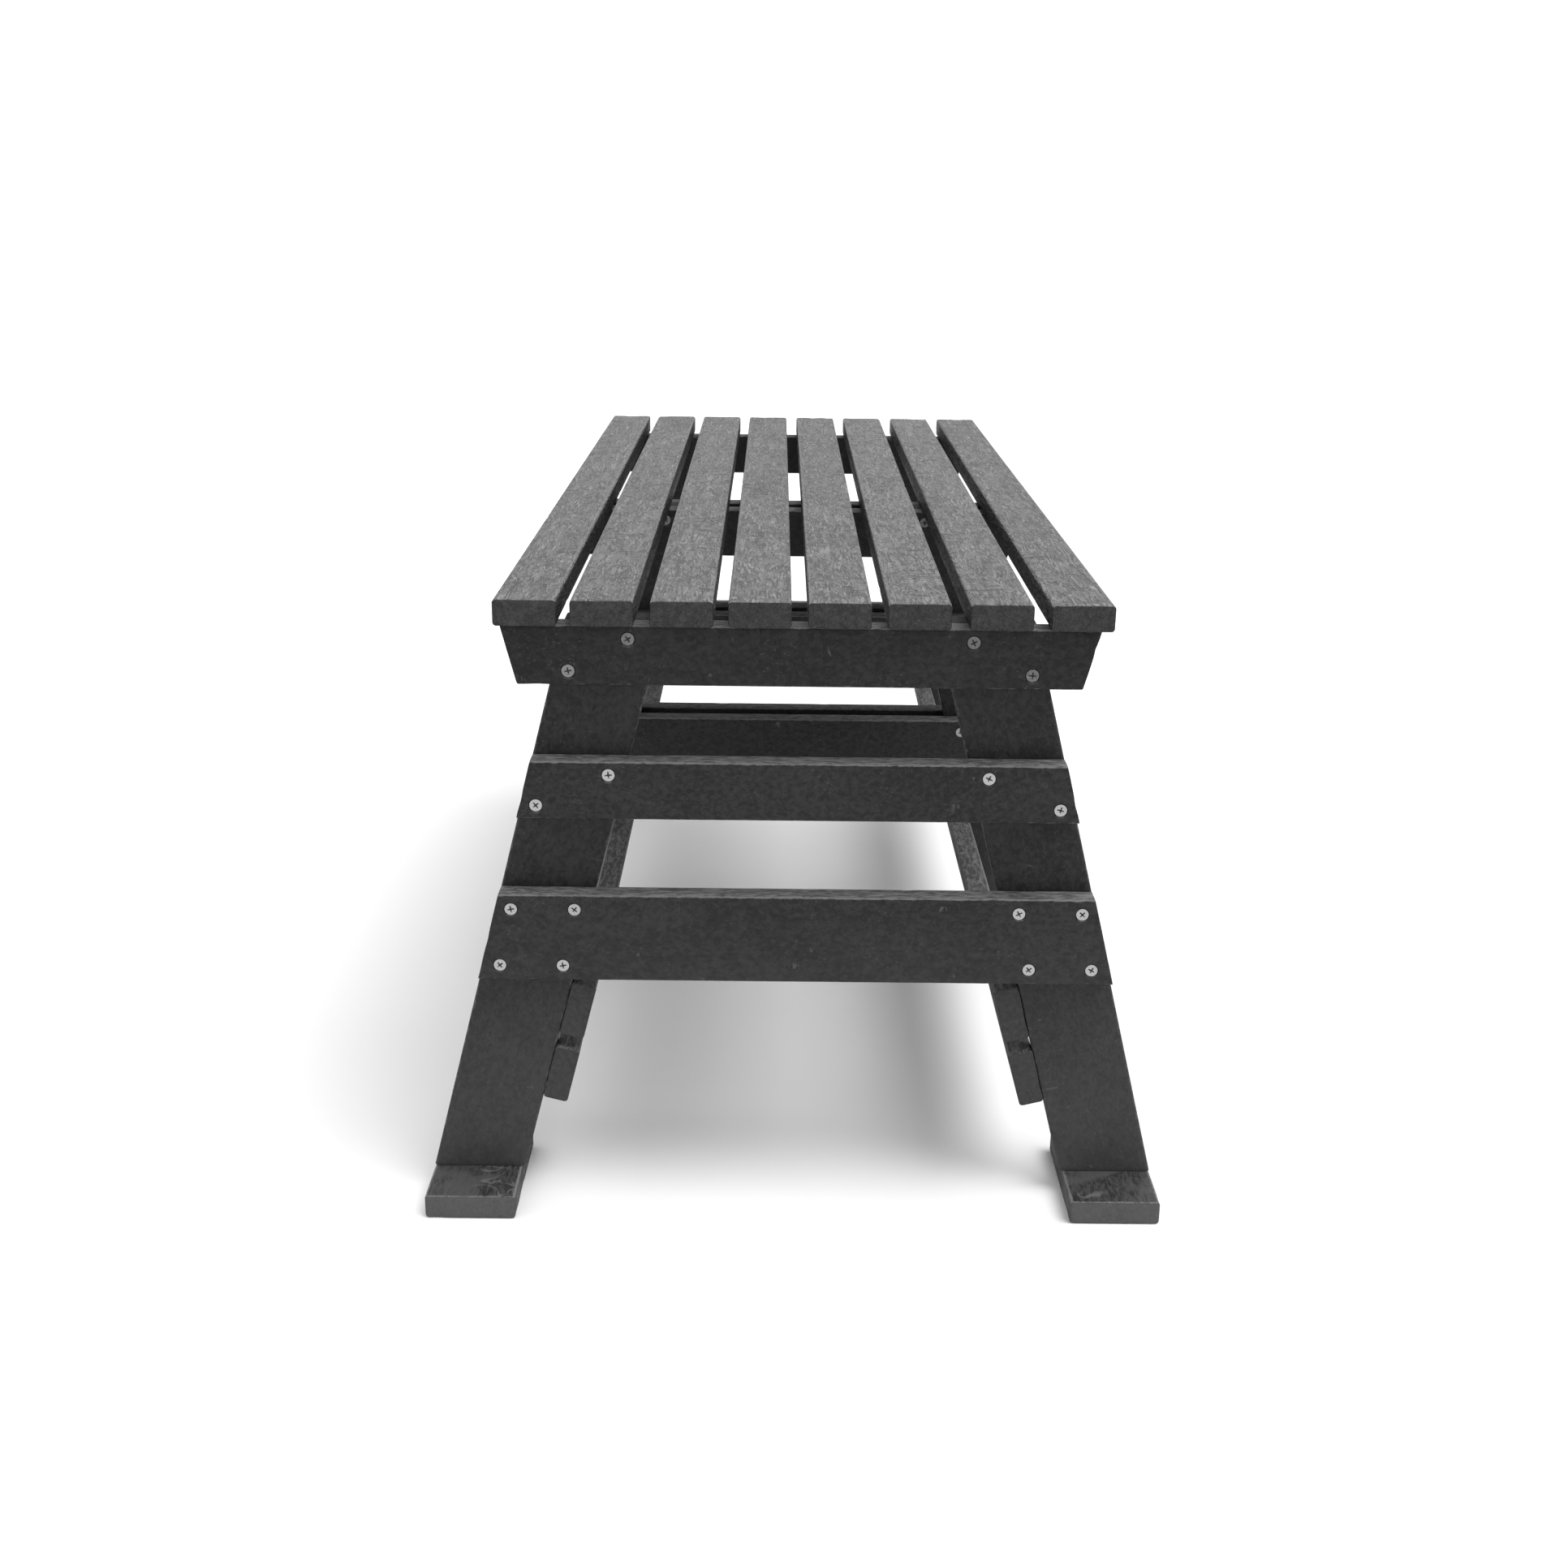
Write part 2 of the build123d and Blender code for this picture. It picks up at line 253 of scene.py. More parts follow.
@dataclass(frozen=True)
class MouldedPlastic:
    """Dark recycled plastic: mottled skin, upward faces painted lighter (painted sheen, with some dust and
    bleaching), ragged worn arrises, and faces lighter near the floor (dust, with painted floor light).
    """

    name: str = "moulded_plastic"
    body: float = 0.018
    # colour of upward faces: painted sheen, with some dust and bleaching
    top: float = 0.125
    worn: float = 0.135
    # colour where dust and painted floor light lighten the faces near the floor
    dust_and_floor_light: float = 0.078
    sawn: float = 0.042
    fray: float = 1.0
    depth: float = 0.00055
    slot: str = "frame_plastic"

    def relief(self, graph: Graph) -> Field:
        """The moulded skin's relief, from 0 to 1."""
        swirl = graph.grain(140, 190, 2.5, 0.55, 0.8)
        fine = graph.grain(380, 460, 3.0, 0.6)
        return swirl * 0.45 + fine * 0.55

    def skin(self, graph: Graph) -> Field:
        """The skin's colour, with upward faces painted lighter: partly painted sheen, partly dust and
        bleaching.
        """
        patches = graph.grain(8, 16, 4.0, 0.6, 0.4)
        mottle = graph.grain(210, 260, 3.0, 0.65, 0.5)
        light = (patches * 0.26 + mottle * 0.74).rise(0.34, 0.66)
        colour = graph.blend(light, grey(self.body * 0.58), grey(self.body * 1.45))
        specks = graph.cells(graph.place("grain", (230, 300, 300))).fall(0.12, 0.30)
        some = graph.grain(36, 50, 2.0).rise(0.50, 0.64)
        colour = graph.blend(specks * some * 0.14, colour, grey(self.worn))
        # upward faces painted lighter: painted sheen from above, with some dust and bleaching
        strands = graph.grain(90, 380, 3.0, 0.65, 0.8)
        pale = graph.blend(strands.rise(0.36, 0.66), grey(self.top * 0.5), grey(self.top * 1.5))
        return graph.blend(graph.attribute("sky").rise(0.35, 0.95) * 0.9, colour, pale)

    def scratches(self, graph: Graph) -> Field:
        """A few thin pale scratches across the board."""
        bent = graph.grain(120, 16, 1.0, 0.5, 0.5)
        line = bent.crease(0.006, 0.034)
        where = graph.grain(60, 90, 1.5).rise(0.64, 0.72)
        return line * where

    def rubbed(self, graph: Graph, ragged: Field) -> Field:
        """Where the arrises are rubbed pale: most on the upper ones, in frayed dashes.

        Args:
            graph: the node tree's builder.
            ragged: fine noise that breaks the wear up.

        Returns:
            The wear, from 0 to 1.
        """
        runs = graph.grain(30, 10, 3.0, 0.6)
        upper = graph.attribute("sky").rise(0.05, 0.60) * 0.32 * self.fray
        edge = graph.attribute("arris") * (upper + runs * 0.45 + 0.42)
        return (edge + ragged * 1.3 - 1.22).rise(0.0, 0.42)

    def material(self) -> bpy.types.Material:
        """The finish as a node material."""
        graph = Graph(self.name)
        relief = self.relief(graph)
        colour = self.skin(graph)
        ragged = graph.grain(170, 320, 4.0, 0.7)
        rubbed = self.rubbed(graph, ragged)
        colour = graph.blend(rubbed * 0.85, colour, grey(self.worn))
        marks = self.scratches(graph)
        colour = graph.blend(marks * 0.34, colour, grey(self.worn))
        # lighter towards the floor and on the feet's ends: dust, with painted light standing in for the
        # floor's bounce and the seat's shade above
        settled = graph.grain(45, 60, 5.0, 0.68, 0.5)
        dust_and_floor_light_share = (graph.attribute("dust_and_floor_light") * (settled.rise(0.25, 0.75) * 0.4 + 0.72)).clamped()
        ground = graph.blend(ragged, grey(self.dust_and_floor_light * 0.70), grey(self.dust_and_floor_light * 1.30))
        colour = graph.blend(dust_and_floor_light_share, colour, ground)
        end = graph.attribute("cut") * (1.0 - graph.attribute("dust_and_floor_light")).clamped()
        torn = graph.noise(graph.place("grain", (200, 240, 260)), 5.0, 0.72)
        face = graph.blend(torn.rise(0.3, 0.7), grey(self.sawn * 0.74), grey(self.sawn * 1.30))
        colour = graph.blend(end * 0.9, colour, face)
        rough = (0.46 + relief * 0.2 + dust_and_floor_light_share * 0.2 + end * 0.15 - rubbed * 0.06).clamped()
        height = relief - marks * 0.3 + end * torn * 0.6 + rubbed * 0.45
        return graph.finish(colour, rough, height, self.depth, Specular_IOR_Level=0.16)


@dataclass(frozen=True)
class ScuffedPlastic(MouldedPlastic):
    """The feet's plastic: trodden tops with lighter patches and curved scuffs."""

    name: str = "scuffed_plastic"
    # the feet's upward faces: painted sheen, with some dust
    top: float = 0.044
    worn: float = 0.185
    fray: float = 1.35

    def skin(self, graph: Graph) -> Field:
        """The skin's colour with trodden patches and scuffs."""
        colour = super().skin(graph)
        patch = graph.grain(27, 22, 2.5, 0.5, 0.4)
        colour = graph.blend(patch.rise(0.42, 0.58) * 0.8, colour, grey(self.dust_and_floor_light * 0.9))
        curl = graph.grain(34, 26, 1.5, 0.5, 1.2)
        line = curl.crease(0.010, 0.055)
        where = graph.grain(24, 24, 1.0).rise(0.52, 0.60)
        return graph.blend(line * where * 0.45, colour, grey(self.worn))


@dataclass(frozen=True)
class BleachedPlastic(MouldedPlastic):
    """The same plastic where sun and use have bleached and creased the upper side."""

    name: str = "bleached_plastic"
    sun: float = 0.133
    worn: float = 0.20
    fray: float = 0.75
    depth: float = 0.0015
    slot: str = "seat_plastic"

    def fibres(self, graph: Graph, along: float, across: float) -> Field:
        """Curled strands of the moulded chips, as thin broken lines.

        Args:
            graph: the node tree's builder.
            along: how many bends there are to a metre along the slat.
            across: the same across it.

        Returns:
            The lines, from 0 to 1.
        """
        bent = graph.grain(along, across, 1.5, 0.5, 1.1)
        line = bent.crease(0.03, 0.19)
        return line * graph.grain(60, 140, 3.0, 0.6).rise(0.40, 0.52)

    def skin(self, graph: Graph) -> Field:
        """The skin's colour, bleached where it faces the sky."""
        dark = super().skin(graph)
        patches = graph.grain(9, 28, 4.0, 0.62)
        tone = (patches * 0.8 + graph.attribute("tone") * 0.2).rise(0.30, 0.70)
        pale = graph.blend(tone, grey(self.sun * 0.90), grey(self.sun * 1.20))
        mottle = graph.grain(52, 250, 2.5, 0.62, 1.2)
        pale = graph.blend(mottle.rise(0.50, 0.60) * 0.5, pale, grey(self.sun * 1.6))
        pale = graph.blend(mottle.fall(0.39, 0.48) * 0.62, pale, grey(self.sun * 0.5))
        pale = graph.blend(self.fibres(graph, 36, 165) * 0.7, pale, grey(self.sun * 2.1))
        pale = graph.blend(self.fibres(graph, 28, 230) * 0.75, pale, grey(self.sun * 0.32))
        pale = graph.blend(self.cracks(graph) * 0.8, pale, grey(self.sun * 0.2))
        return graph.blend(graph.attribute("sky").rise(0.15, 0.55), dark, pale)

    def cracks(self, graph: Graph) -> Field:
        """Dark weather cracks across the slat."""
        bent = graph.grain(90, 26, 2.5, 0.5, 0.6)
        line = bent.crease(0.006, 0.046)
        where = graph.grain(20, 34, 2.0).rise(0.44, 0.62)
        return line * where

    def relief(self, graph: Graph) -> Field:
        """A coarser leathery relief."""
        fine = graph.grain(52, 250, 2.5, 0.62, 1.2)
        strands = self.fibres(graph, 36, 165) - self.fibres(graph, 28, 230) * 0.8
        return fine.rise(0.30, 0.70) * 0.7 + strands * 0.45 - self.cracks(graph) * 0.45


@dataclass(frozen=True)
class StainlessSteel:
    """Turned stainless steel, dulled outdoors, darkened with painted shade and some dirt on the screws under
    the seat, and darker in the cross recess.
    """

    name: str = "stainless_steel"
    bright: float = 0.39
    # colour of the darkened cross recess
    recess_dark: float = 0.06
    depth: float = 0.00005
    rings: float = 900.0
    slot: str = "screw_steel"

    def material(self) -> bpy.types.Material:
        """The finish as a node material."""
        graph = Graph(self.name)
        spots = graph.grain(700, 700, 4.0, 0.6)
        dull_and_shade = graph.attribute("tone")
        pit = graph.attribute("recess")
        # darkens the heads: dulling, and painted shade for the screws under the seat
        dull_and_shade_mix = (spots * 0.4 + dull_and_shade).rise(0.25, 1.05)
        colour = graph.blend(dull_and_shade_mix, grey(self.bright), grey(self.bright * 0.20))
        # darker in the cross recess
        colour = graph.blend((pit * 1.1 + spots * 0.2 - 0.15).clamped(), colour, grey(self.recess_dark))
        settings = {"wave_type": "RINGS", "rings_direction": "Z"}
        sockets = {"Vector": graph.place("turned", (1, 1, 1)), "Scale": self.rings, "Distortion": 1.0}
        rings = graph.node("ShaderNodeTexWave", settings, sockets, "Fac")
        rough = (0.34 + spots * 0.22 + dull_and_shade * 0.18 + pit * 0.2).clamped()
        metal = (1.0 - dull_and_shade * 0.35 - pit * 0.5).clamped()
        height = rings * 0.35 + spots * 0.65
        return graph.finish(colour, rough, height, self.depth, Metallic=metal)


@dataclass(frozen=True)
class PaleFloor:
    """The studio's plain pale floor."""

    name: str = "pale_floor"
    shade: float = 0.90

    def material(self) -> bpy.types.Material:
        """The finish as a node material."""
        graph = Graph(self.name)
        at = graph.node("ShaderNodeNewGeometry", {}, {}, "Position")
        cloud = graph.noise(at, 2.0)
        colour = graph.blend(cloud, grey(self.shade * 0.995), grey(self.shade * 1.005))
        return graph.finish(colour, 0.85, None, 0.0, Specular_IOR_Level=0.1)


class Finishes:
    """Makes each finish's material once."""

    def __init__(self) -> None:
        """Start with none."""
        self._made: Dict[str, bpy.types.Material] = {}

    def get(self, finish: Union[MouldedPlastic, StainlessSteel, PaleFloor]) -> bpy.types.Material:
        """The finish's material.

        Args:
            finish: the finish.

        Returns:
            Its material, made on first use.
        """
        if finish.name not in self._made:
            self._made[finish.name] = finish.material()
        return self._made[finish.name]


# ---------------------------------------------------------------- meshes


def to_mesh(name: str, points: np.ndarray, faces: Sequence[Sequence[int]]) -> bpy.types.Mesh:
    """A mesh with outward normals and no doubled points.

    Args:
        name: the mesh's name.
        points: its points, one to a row.
        faces: the point numbers of each face.

    Returns:
        The mesh.
    """
    shape = bmesh.new()
    verts = [shape.verts.new(point) for point in points]
    for face in faces:
        shape.faces.new([verts[i] for i in face])
    bmesh.ops.remove_doubles(shape, verts=shape.verts, dist=1e-6)
    bmesh.ops.recalc_face_normals(shape, faces=shape.faces)
    mesh = bpy.data.meshes.new(name)
    shape.to_mesh(mesh)
    shape.free()
    return mesh


def read(mesh: bpy.types.Mesh, key: str = "co") -> np.ndarray:
    """A mesh's points, or its point normals for the key "normal", one to a row."""
    values = np.empty(len(mesh.vertices) * 3)
    mesh.vertices.foreach_get(key, values)
    return values.reshape(-1, 3)


def store(mesh: bpy.types.Mesh, name: str, values: np.ndarray) -> None:
    """Keep a number or a vector for each point of a mesh.

    Args:
        mesh: the mesh.
        name: the attribute's name.
        values: one number, or three, for each point.
    """
    flat = values.ndim == 1
    kind, key = ("FLOAT", "value") if flat else ("FLOAT_VECTOR", "vector")
    layer = mesh.attributes.new(name, kind, "POINT")
    layer.data.foreach_set(key, values.astype(np.float32).ravel())


def between_rings(rings: int, count: int) -> List[List[int]]:
    """The faces that join closed rings of points, each to the next.

    Args:
        rings: how many rings there are.
        count: how many points each has.

    Returns:
        Four point numbers for each face.
    """
    faces = []
    for start in range(0, (rings - 1) * count, count):
        for i in range(count):
            j = (i + 1) % count
            faces.append([start + i, start + j, start + count + j, start + count + i])
    return faces


def lathe(profile: Sequence[Corner], segments: int) -> Tuple[np.ndarray, List[List[int]]]:
    """Turn a profile about Z.

    Args:
        profile: (radius, z) pairs. The first and last are on the axis.
        segments: the number of steps round the axis.

    Returns:
        The points and the faces.
    """
    turns = [2 * math.pi * i / segments for i in range(segments)]
    points = [(r * math.cos(a), r * math.sin(a), z) for r, z in profile[1:-1] for a in turns]
    rows = len(profile) - 2
    faces = between_rings(rows, segments)
    for row, (_, z) in ((0, profile[0]), (rows - 1, profile[-1])):
        centre = len(points)
        points.append((0.0, 0.0, z))
        for i in range(segments):
            faces.append([row * segments + i, row * segments + (i + 1) % segments, centre])
    return np.array(points), faces


def carve(mesh: bpy.types.Mesh, cutter: bpy.types.Mesh) -> bpy.types.Mesh:
    """Cut one mesh out of another.

    Args:
        mesh: the mesh to keep.
        cutter: the closed mesh to take away.

    Returns:
        What is left, as a new mesh.
    """
    body = bpy.data.objects.new("carve_body", mesh)
    tool = bpy.data.objects.new("carve_tool", cutter)
    for thing in (body, tool):
        bpy.context.scene.collection.objects.link(thing)
    cut = body.modifiers.new("cut", "BOOLEAN")
    cut.operation = "DIFFERENCE"
    cut.solver = "MANIFOLD"
    cut.object = tool
    bpy.context.view_layer.update()
    result = bpy.data.meshes.new_from_object(body.evaluated_get(bpy.context.evaluated_depsgraph_get()))
    for thing in (body, tool):
        bpy.data.objects.remove(thing)
    bpy.data.meshes.remove(cutter)
    return result


def repeat(mesh: bpy.types.Mesh, places: Sequence[Matrix]) -> Tuple[np.ndarray, List[List[int]], np.ndarray]:
    """Copies of a mesh at several places.

    Args:
        mesh: the mesh to copy.
        places: where each copy goes.

    Returns:
        All the points, all the faces and the number of the copy that each point is in.
    """
    single = read(mesh)
    polygons = [list(face.vertices) for face in mesh.polygons]
    points: Rows = []
    faces: List[List[int]] = []
    for number, place in enumerate(places):
        turn = np.array(place.to_3x3())
        points.append(single @ turn.T + np.array(place.translation))
        faces += [[i + number * len(single) for i in face] for face in polygons]
    return np.vstack(points), faces, np.repeat(np.arange(len(places)), len(single))


def axes(along: Vector, across: Vector, origin: Vector) -> Matrix:
    """A frame with its X along one direction and its Y as near another as it can be.

    Args:
        along: the X axis.
        across: roughly the Y axis.
        origin: where the frame's origin is.

    Returns:
        The frame as a matrix.
    """
    x = along.normalized()
    z = x.cross(across).normalized()
    y = z.cross(x)
    turned = Matrix((x, y, z)).transposed().to_4x4()
    turned.translation = origin
    return turned


def upright(direction: Vector) -> Matrix:
    """A turn that brings Z onto a direction."""
    side = direction.orthogonal().normalized()
    return Matrix((side, direction.cross(side), direction)).transposed()


def show(
    name: str,
    mesh: bpy.types.Mesh,
    finish: Union[MouldedPlastic, StainlessSteel],
    finishes: Finishes,
    node: str,
) -> bpy.types.Object:
    """Put a finished mesh in the scene in place of a CAD node.

    Args:
        name: the piece's name.
        mesh: its mesh, in the shared frame.
        finish: its finish.
        finishes: the materials made so far.
        node: the CAD node that it stands for.

    Returns:
        The piece.
    """
    mesh.name = name
    mesh.materials.clear()
    mesh.materials.append(finishes.get(finish))
    piece = bpy.data.objects.new(name, mesh)
    bpy.context.scene.collection.objects.link(piece)
    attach(piece, "root")
    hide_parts(node)
    log.info("%s: %d faces", name, len(mesh.polygons))
    return piece


# ---------------------------------------------------------------- screws


class Screw(Enum):
    """The kinds of screw: head radius, head height above its seat, and shank length, in mm."""

    SUNK_SHORT = (4.8, 0.0, 35.0)
    SUNK_LONG = (4.8, 0.0, 50.0)
    PAN = (4.5, 3.0, 45.0)

    @property
    def head_radius(self) -> float:
        """Radius of the head, in metres."""
        return self.value[0] * MM

    @property
    def head_height(self) -> float:
        """Height of a pan head above its seat, in metres."""
        return self.value[1] * MM

    @property
    def length(self) -> float:
        """Length below the top of a sunk head, or below the seat of a pan head, in metres."""
        return self.value[2] * MM


@dataclass(frozen=True)
class ScrewShape:
    """Sizes that all the screws share, in metres."""

    shank: float = 2.5 * MM
    core: float = 1.9 * MM
    pitch: float = 2.2 * MM
    point: float = 4.0 * MM
    rim: float = 0.25 * MM
    recess_span: float = 5.4 * MM
    recess_width: float = 1.15 * MM
    recess_depth: float = 1.9 * MM
    segments: int = 32

    def profile(self, kind: Screw) -> List[Corner]:
        """Half outline of a screw with its head's top, or a pan head's seat, at z = 0.

        Args:
            kind: the kind of screw.

        Returns:
            (radius, z) pairs from the head down to the point.
        """
        head = kind.head_radius
        if kind is Screw.PAN:
            top = kind.head_height
            outline = [(0, top), (head * 0.45, top), (head * 0.75, top * 0.88), (head * 0.95, top * 0.62)]
            outline += [(head, top * 0.35), (head, 0.0), (self.shank, 0.0)]
            z = -4 * MM
        else:
            neck = -self.rim - head + self.shank
            outline = [(0, 0), (head - self.rim, 0.0), (head, -self.rim), (self.shank, neck)]
            z = -6 * MM
        outline.append((self.shank, z))
        while z - self.pitch > self.point - kind.length:
            outline.append((self.core, z - self.pitch * 0.3))
            outline.append((self.core, z - self.pitch * 0.7))
            outline.append((self.shank, z - self.pitch))
            z -= self.pitch
        end = -kind.length
        outline += [(self.core, end + self.point), (0.4 * MM, end + 0.5 * MM), (0, end)]
        return outline

    def recess(self, top: float) -> bpy.types.Mesh:
        """The tapered cross that is cut into a head.

        Args:
            top: the head's top.

        Returns:
            The closed mesh of the cross.
        """
        levels = ((0.5 * MM, 1.12), (0.0, 1.0), (-self.recess_depth * 0.55, 0.66), (-self.recess_depth, 0.20))
        arm, half = self.recess_span / 2, self.recess_width / 2
        outline = [(arm, half), (half, half), (half, arm), (-half, arm), (-half, half), (-arm, half)]
        outline += [(-x, -y) for x, y in outline]
        points = []
        for z, share in levels:
            narrow = 0.55 + 0.45 * share
            for x, y in outline:
                sx = x * share if abs(x) > half else x * narrow
                sy = y * share if abs(y) > half else y * narrow
                points.append((sx, sy, top + z))
        count = len(outline)
        faces = [list(range(count)), [i + count * (len(levels) - 1) for i in range(count)]]
        faces += between_rings(len(levels), count)
        return to_mesh("recess", np.array(points), faces)

    def mesh(self, kind: Screw) -> bpy.types.Mesh:
        """One whole screw."""
        blank = to_mesh("screw", *lathe(self.profile(kind), self.segments))
        return carve(blank, self.recess(kind.head_height))


@dataclass
class ScrewGroup:
    """All the screws of one CAD node."""

    node: str
    kind: Screw
    directions: Sequence[Vector]
    shape: ScrewShape
    dullness_and_shade: float = 0.2
    heads: List[Tuple[Vector, Vector]] = field(default_factory=list)

    def find(self) -> None:
        """Find each screw's head and direction in the CAD node."""
        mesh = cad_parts[self.node].data
        points = read(mesh)
        edges = np.empty(len(mesh.edges) * 2, int)
        mesh.edges.foreach_get("vertices", edges)
        self.heads = [self.locate(points[group]) for group in islands(points, edges.reshape(-1, 2))]

    def locate(self, points: np.ndarray) -> Tuple[Vector, Vector]:
        """The head's place and outward direction of one screw.

        Args:
            points: the screw's points.

        Returns:
            The middle of the head's top, or of a pan head's seat, and the direction out of the head.
        """
        middle = (points.min(0) + points.max(0)) / 2
        long_axis = np.linalg.svd(points - points.mean(0), full_matrices=False)[2][0]
        outward = max(self.directions, key=lambda d: self._score(points, middle, long_axis, d))
        axis = np.array(outward)
        along = points @ axis
        flat = points - np.outer(along, axis)
        centre = (flat.min(0) + flat.max(0)) / 2
        top = along.max() - self.kind.head_height
        return Vector(centre + axis * top), outward

    @staticmethod
    def _score(points: np.ndarray, middle: np.ndarray, long_axis: np.ndarray, direction: Vector) -> float:
        """How well a direction fits: along the screw, with the widest part at its far end.

        Args:
            points: the screw's points.
            middle: the middle of its box.
            long_axis: its longest direction.
            direction: the direction to try.

        Returns:
            A number that is highest for the right direction.
        """
        axis = np.array(direction)
        along = (points - middle) @ axis
        off = np.linalg.norm(points - middle - np.outer(along, axis), axis=1)
        top_side = along[off > off.max() * 0.8].mean()
        return abs(float(long_axis @ axis)) * 10 + (1 if top_side > 0 else -1)

    def places(self, rng: np.random.Generator) -> List[Matrix]:
        """Where each screw goes, turned by chance about its own axis.

        Args:
            rng: the source of chance.

        Returns:
            One frame for each screw, with Z out of its head.
        """
        found = []
        for spot, outward in self.heads:
            lay = upright(outward).to_4x4() @ Matrix.Rotation(rng.uniform(0, math.pi / 2), 4, "Z")
            lay.translation = spot
            found.append(lay)
        return found

    def build(self, finishes: Finishes, finish: StainlessSteel, rng: np.random.Generator) -> bpy.types.Object:
        """Make the group's piece.

        Args:
            finishes: the materials made so far.
            finish: the screws' finish.
            rng: the source of chance.

        Returns:
            The piece.
        """
        single = self.shape.mesh(self.kind)
        local = read(single)
        places = self.places(rng)
        points, faces, copy = repeat(single, places)
        mesh = bpy.data.meshes.new(self.node)
        mesh.from_pydata(points.tolist(), [], faces)
        # dullness with painted shade, varied a little from screw to screw
        dull_and_shade = np.clip(self.dullness_and_shade + rng.normal(0, 0.08, len(places)), 0, 1)
        deep = self.kind.head_height - local[:, 2]
        near = np.hypot(local[:, 0], local[:, 1])
        pit = np.clip(deep / self.shape.recess_depth, 0, 1) * (near < self.kind.head_radius * 0.62)
        store(mesh, "tone", dull_and_shade[copy])
        store(mesh, "recess", np.tile(pit, len(places)))
        store(mesh, "turned", np.tile(local, (len(places), 1)))
        store(mesh, "grain", points + rng.uniform(0, 1, (len(places), 3))[copy])
        mesh.set_sharp_from_angle(angle=SCREW_CREASE)
        return show(self.node + "_turned", mesh, finish, finishes, self.node)


def islands(points: np.ndarray, edges: np.ndarray) -> List[np.ndarray]:
    """Split points into groups joined by edges, with doubled points counted as one.

    Args:
        points: the points, one to a row.
        edges: pairs of point numbers.

    Returns:
        The point numbers of each group, in order of their first point.
    """
    _, merged = np.unique(np.round(points, 6), axis=0, return_inverse=True)
    merged = merged.ravel()
    label = np.arange(merged.max() + 1)
    ends = merged[edges]
    while True:
        low = np.minimum(label[ends[:, 0]], label[ends[:, 1]])
        after = label.copy()
        np.minimum.at(after, ends[:, 0], low)
        np.minimum.at(after, ends[:, 1], low)
        after = after[after]
        if np.array_equal(after, label):
            break
        label = after
    of_point = label[merged]
    return [np.flatnonzero(of_point == value) for value in sorted(set(of_point.tolist()))]


# ---------------------------------------------------------------- boards


